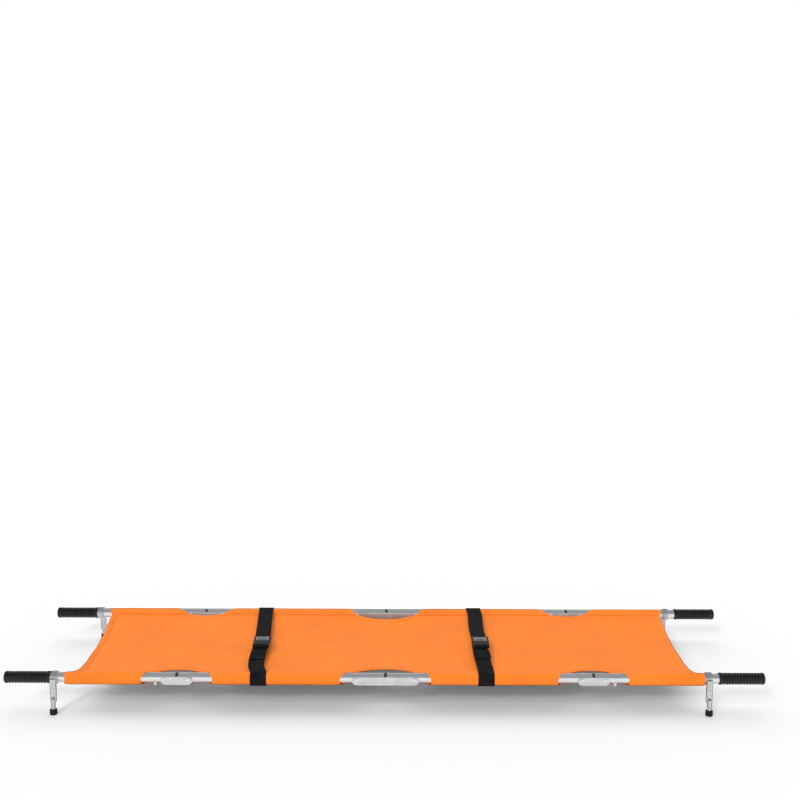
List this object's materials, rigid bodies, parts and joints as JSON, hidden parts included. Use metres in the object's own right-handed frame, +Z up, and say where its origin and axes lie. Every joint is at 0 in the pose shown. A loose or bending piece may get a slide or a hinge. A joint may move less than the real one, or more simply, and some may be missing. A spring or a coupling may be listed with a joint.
{
  "type": "folding stretcher",
  "caption": "Folding stretcher: canvas bed on two hinged poles that fold in four and close together, with rubber grips, short legs, two spreaders and two straps.",
  "frame": {"origin": "on the floor, below the middle of the bed", "axes": "+X along the poles, +Y across the bed, +Z up"},
  "size_m": [2.08, 0.571, 0.1208],
  "materials": {
    "aluminium_tube": "satin",
    "bracket": "satin",
    "bolt": "polished",
    "leg": "satin",
    "spreader": "polished",
    "foot": "matte",
    "grip": "matte",
    "canvas": "matte",
    "webbing": "matte",
    "buckle": "matte"
  },
  "bodies": {
    "outer_left_front": {"tube_1_front": "aluminium_tube", "grip_left_front": "grip", "leg_left_front": "leg", "foot_left_front": "foot", "spreader_pin_left_front": "bolt", "canvas_1": "canvas"},
    "hinge_left_front": {"bracket_left_front": "bracket", "hinge_bolt_left_a_front": "bolt", "hinge_bolt_left_b_front": "bolt", "canvas_left_hinge": "canvas"},
    "inner_left_front": {"tube_2_front": "aluminium_tube", "canvas_2": "canvas", "strap_left": "webbing"},
    "hinge_middle_front": {"bracket_middle_front": "bracket", "hinge_bolt_middle_a_front": "bolt", "hinge_bolt_middle_b_front": "bolt", "canvas_middle_hinge": "canvas"},
    "inner_right_front": {"tube_3_front": "aluminium_tube", "canvas_3": "canvas", "strap_right": "webbing"},
    "hinge_right_front": {"bracket_right_front": "bracket", "hinge_bolt_right_a_front": "bolt", "hinge_bolt_right_b_front": "bolt", "canvas_right_hinge": "canvas"},
    "outer_right_front": {"tube_4_front": "aluminium_tube", "grip_right_front": "grip", "leg_right_front": "leg", "foot_right_front": "foot", "spreader_pin_right_front": "bolt", "canvas_4": "canvas"},
    "outer_left_rear": {"tube_1_rear": "aluminium_tube", "grip_left_rear": "grip", "leg_left_rear": "leg", "foot_left_rear": "foot", "spreader_pin_left_rear": "bolt"},
    "hinge_left_rear": {"bracket_left_rear": "bracket", "hinge_bolt_left_a_rear": "bolt", "hinge_bolt_left_b_rear": "bolt"},
    "inner_left_rear": {"tube_2_rear": "aluminium_tube"},
    "hinge_middle_rear": {"bracket_middle_rear": "bracket", "hinge_bolt_middle_a_rear": "bolt", "hinge_bolt_middle_b_rear": "bolt"},
    "inner_right_rear": {"tube_3_rear": "aluminium_tube"},
    "hinge_right_rear": {"bracket_right_rear": "bracket", "hinge_bolt_right_a_rear": "bolt", "hinge_bolt_right_b_rear": "bolt"},
    "outer_right_rear": {"tube_4_rear": "aluminium_tube", "grip_right_rear": "grip", "leg_right_rear": "leg", "foot_right_rear": "foot", "spreader_pin_right_rear": "bolt"},
    "link_left_front": {"spreader_left_front": "spreader"},
    "link_left_rear": {"spreader_left_rear": "spreader"},
    "buckle_left": {"buckle_socket_left": "buckle", "buckle_plug_left": "buckle"},
    "link_right_front": {"spreader_right_front": "spreader"},
    "link_right_rear": {"spreader_right_rear": "spreader"},
    "buckle_right": {"buckle_socket_right": "buckle", "buckle_plug_right": "buckle"}
  },
  "joints": [
    {"name": "spreader_fold", "type": "hinge", "parent": "outer_left_front", "child": "link_left_front", "pos_m": [-0.63, -0.25, 0.077], "axis": [0, 0, 1], "range_deg": [0, 83.8], "deforming": ["canvas_1", "canvas_left_hinge", "canvas_2", "canvas_middle_hinge", "canvas_3", "canvas_right_hinge", "canvas_4", "strap_left", "strap_right"]},
    {"name": "spreader_left_knee", "type": "hinge", "parent": "link_left_front", "child": "link_left_rear", "pos_m": [-0.63, 0, 0.075], "axis": [0, 0, -1], "range_deg": [0, 167.6]},
    {"name": "spreader_left_rear_pivot", "type": "hinge", "parent": "link_left_rear", "child": "outer_left_rear", "pos_m": [-0.63, 0.25, 0.0735], "axis": [0, 0, 1], "range_deg": [0, 83.8]},
    {"name": "spreader_right_front_pivot", "type": "hinge", "parent": "outer_right_front", "child": "link_right_front", "pos_m": [0.63, -0.25, 0.077], "axis": [0, 0, -1], "range_deg": [0, 83.8]},
    {"name": "spreader_right_knee", "type": "hinge", "parent": "link_right_front", "child": "link_right_rear", "pos_m": [0.63, 0, 0.075], "axis": [0, 0, 1], "range_deg": [0, 167.6]},
    {"name": "left_fold", "type": "hinge", "parent": "inner_left_front", "child": "hinge_left_front", "pos_m": [-0.539, -0.25, 0.095], "axis": [0, -1, 0], "range_deg": [0, 90]},
    {"name": "left_fold_outer_pivot", "type": "hinge", "parent": "hinge_left_front", "child": "outer_left_front", "pos_m": [-0.601, -0.25, 0.095], "axis": [0, -1, 0], "range_deg": [0, 90]},
    {"name": "left_fold_rear_outer_pivot", "type": "hinge", "parent": "outer_left_rear", "child": "hinge_left_rear", "pos_m": [-0.601, 0.25, 0.095], "axis": [0, 1, 0], "range_deg": [0, 90]},
    {"name": "left_fold_rear_inner_pivot", "type": "hinge", "parent": "hinge_left_rear", "child": "inner_left_rear", "pos_m": [-0.539, 0.25, 0.095], "axis": [0, 1, 0], "range_deg": [0, 90]},
    {"name": "middle_fold", "type": "hinge", "parent": "inner_left_front", "child": "hinge_middle_front", "pos_m": [-0.079, -0.25, 0.095], "axis": [0, 1, 0], "range_deg": [0, 90]},
    {"name": "middle_fold_right_pivot", "type": "hinge", "parent": "hinge_middle_front", "child": "inner_right_front", "pos_m": [0.079, -0.25, 0.095], "axis": [0, 1, 0], "range_deg": [0, 90]},
    {"name": "middle_fold_rear_left_pivot", "type": "hinge", "parent": "inner_left_rear", "child": "hinge_middle_rear", "pos_m": [-0.079, 0.25, 0.095], "axis": [0, 1, 0], "range_deg": [0, 90]},
    {"name": "middle_fold_rear_right_pivot", "type": "hinge", "parent": "hinge_middle_rear", "child": "inner_right_rear", "pos_m": [0.079, 0.25, 0.095], "axis": [0, 1, 0], "range_deg": [0, 90]},
    {"name": "right_fold", "type": "hinge", "parent": "inner_right_front", "child": "hinge_right_front", "pos_m": [0.539, -0.25, 0.095], "axis": [0, 1, 0], "range_deg": [0, 90]},
    {"name": "right_fold_outer_pivot", "type": "hinge", "parent": "hinge_right_front", "child": "outer_right_front", "pos_m": [0.601, -0.25, 0.095], "axis": [0, 1, 0], "range_deg": [0, 90]},
    {"name": "right_fold_rear_inner_pivot", "type": "hinge", "parent": "inner_right_rear", "child": "hinge_right_rear", "pos_m": [0.539, 0.25, 0.095], "axis": [0, 1, 0], "range_deg": [0, 90]},
    {"name": "right_fold_rear_outer_pivot", "type": "hinge", "parent": "hinge_right_rear", "child": "outer_right_rear", "pos_m": [0.601, 0.25, 0.095], "axis": [0, 1, 0], "range_deg": [0, 90]},
    {"name": "buckle_left_slide", "type": "slide", "parent": "inner_left_front", "child": "buckle_left", "axis": [0, -1, 0], "range_m": [0, 0.178]},
    {"name": "buckle_right_slide", "type": "slide", "parent": "inner_right_front", "child": "buckle_right", "axis": [0, -1, 0], "range_m": [0, 0.178]}
  ],
  "couplings": [
    {"joint": "spreader_left_knee", "follows": "spreader_fold", "ratio": 2},
    {"joint": "spreader_left_rear_pivot", "follows": "spreader_fold", "ratio": 1},
    {"joint": "spreader_right_front_pivot", "follows": "spreader_fold", "ratio": 1},
    {"joint": "spreader_right_knee", "follows": "spreader_fold", "ratio": 2},
    {"joint": "left_fold_outer_pivot", "follows": "left_fold", "ratio": 1},
    {"joint": "left_fold_rear_outer_pivot", "follows": "left_fold", "ratio": 1},
    {"joint": "left_fold_rear_inner_pivot", "follows": "left_fold", "ratio": 1},
    {"joint": "middle_fold_right_pivot", "follows": "middle_fold", "ratio": 1},
    {"joint": "middle_fold_rear_left_pivot", "follows": "middle_fold", "ratio": 1},
    {"joint": "middle_fold_rear_right_pivot", "follows": "middle_fold", "ratio": 1},
    {"joint": "right_fold_outer_pivot", "follows": "right_fold", "ratio": 1},
    {"joint": "right_fold_rear_inner_pivot", "follows": "right_fold", "ratio": 1},
    {"joint": "right_fold_rear_outer_pivot", "follows": "right_fold", "ratio": 1},
    {"joint": "buckle_left_slide", "follows": "spreader_fold", "m_per_rad": 0.12169},
    {"joint": "buckle_right_slide", "follows": "spreader_fold", "m_per_rad": 0.12169}
  ]
}
